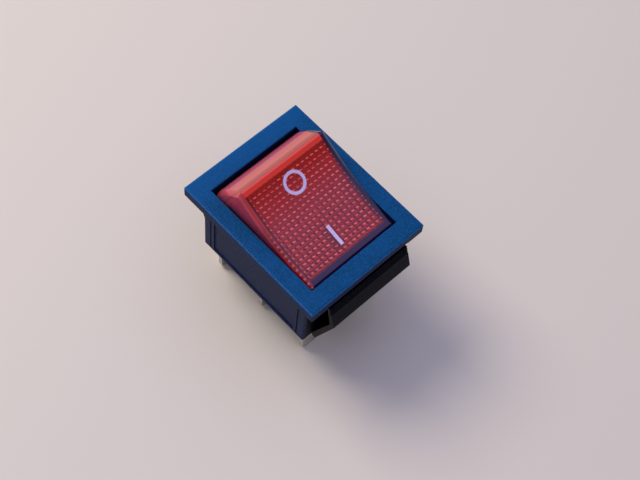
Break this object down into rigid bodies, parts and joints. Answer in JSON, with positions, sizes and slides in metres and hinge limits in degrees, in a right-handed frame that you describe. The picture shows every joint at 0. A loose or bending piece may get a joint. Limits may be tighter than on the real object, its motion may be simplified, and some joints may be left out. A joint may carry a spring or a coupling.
{
  "type": "panel rocker switch",
  "caption": "Illuminated rocker switch for a panel cut-out, with a ribbed clear lens, snap wings and blade terminals.",
  "frame": {"origin": "midway between the terminals, at the level of their tips", "axes": "+X towards the I end of the rocker, which is pressed at rest; +Y towards the rear pole; +Z out of the panel"},
  "size_m": [0.0342, 0.025, 0.0327],
  "materials": {
    "housing_plastic": "dark fine-grained moulded nylon with a blue sheen on the bezel's face",
    "lens_plastic": "clear red polycarbonate with prisms moulded into the underside of its top",
    "carrier_plastic": "off-white moulded nylon",
    "lamp_glass": "clear glass",
    "resistor_body": "lacquered",
    "tinned_wire": "tinned",
    "plunger_plastic": "smooth white acetal",
    "spring_steel": "bright drawn wire",
    "blade_bronze": "rolled phosphor bronze",
    "tinned_brass": "bright tin plate over brass strip",
    "contact_silver": "polished silver rivet"
  },
  "bodies": {
    "base": {"housing": "housing_plastic", "common_terminal_front": "tinned_brass", "common_terminal_rear": "tinned_brass", "o_terminal_front": "tinned_brass", "o_terminal_rear": "tinned_brass", "i_terminal_front": "tinned_brass", "i_terminal_rear": "tinned_brass", "o_fixed_contact_front": "contact_silver", "o_fixed_contact_rear": "contact_silver", "i_fixed_contact_front": "contact_silver", "i_fixed_contact_rear": "contact_silver"},
    "rocker": {"rocker_lens": "lens_plastic", "rocker_carrier": "carrier_plastic", "neon_lamp": "lamp_glass", "ballast_resistor": "resistor_body", "lamp_lead": "tinned_wire", "link_lead": "tinned_wire", "resistor_lead": "tinned_wire", "plunger_spring_front": "spring_steel", "plunger_spring_rear": "spring_steel"},
    "front_plunger": {"plunger_front": "plunger_plastic"},
    "rear_plunger": {"plunger_rear": "plunger_plastic"},
    "front_blade": {"blade_front": "blade_bronze", "o_moving_contact_front": "contact_silver", "i_moving_contact_front": "contact_silver"},
    "rear_blade": {"blade_rear": "blade_bronze", "o_moving_contact_rear": "contact_silver", "i_moving_contact_rear": "contact_silver"}
  },
  "joints": [
    {"name": "rocker_pivot", "type": "hinge", "parent": "base", "child": "rocker", "pos_m": [0, 0, 0.02185], "axis": [0, 1, 0], "range_deg": [-44, 0]},
    {"name": "front_plunger_slide", "type": "slide", "parent": "rocker", "child": "front_plunger", "axis": [0.3746, 0, 0.9272], "range_m": [0, 0.0006], "stiffness_N_per_m": 150, "springref_m": -0.002, "deforming": ["plunger_spring_front"]},
    {"name": "rear_plunger_slide", "type": "slide", "parent": "rocker", "child": "rear_plunger", "axis": [0.3746, 0, 0.9272], "range_m": [0, 0.0006], "stiffness_N_per_m": 150, "springref_m": -0.002, "deforming": ["plunger_spring_rear"]},
    {"name": "front_blade_rock", "type": "hinge", "parent": "base", "child": "front_blade", "pos_m": [0, -0.0055, 0.01514], "axis": [0, 1, 0], "range_deg": [0, 18]},
    {"name": "rear_blade_rock", "type": "hinge", "parent": "base", "child": "rear_blade", "pos_m": [0, 0.0055, 0.01514], "axis": [0, 1, 0], "range_deg": [0, 18]}
  ],
  "couplings": [
    {"joint": "front_blade_rock", "follows": "rocker_pivot", "ratio": -0.40909},
    {"joint": "rear_blade_rock", "follows": "rocker_pivot", "ratio": -0.40909}
  ]
}
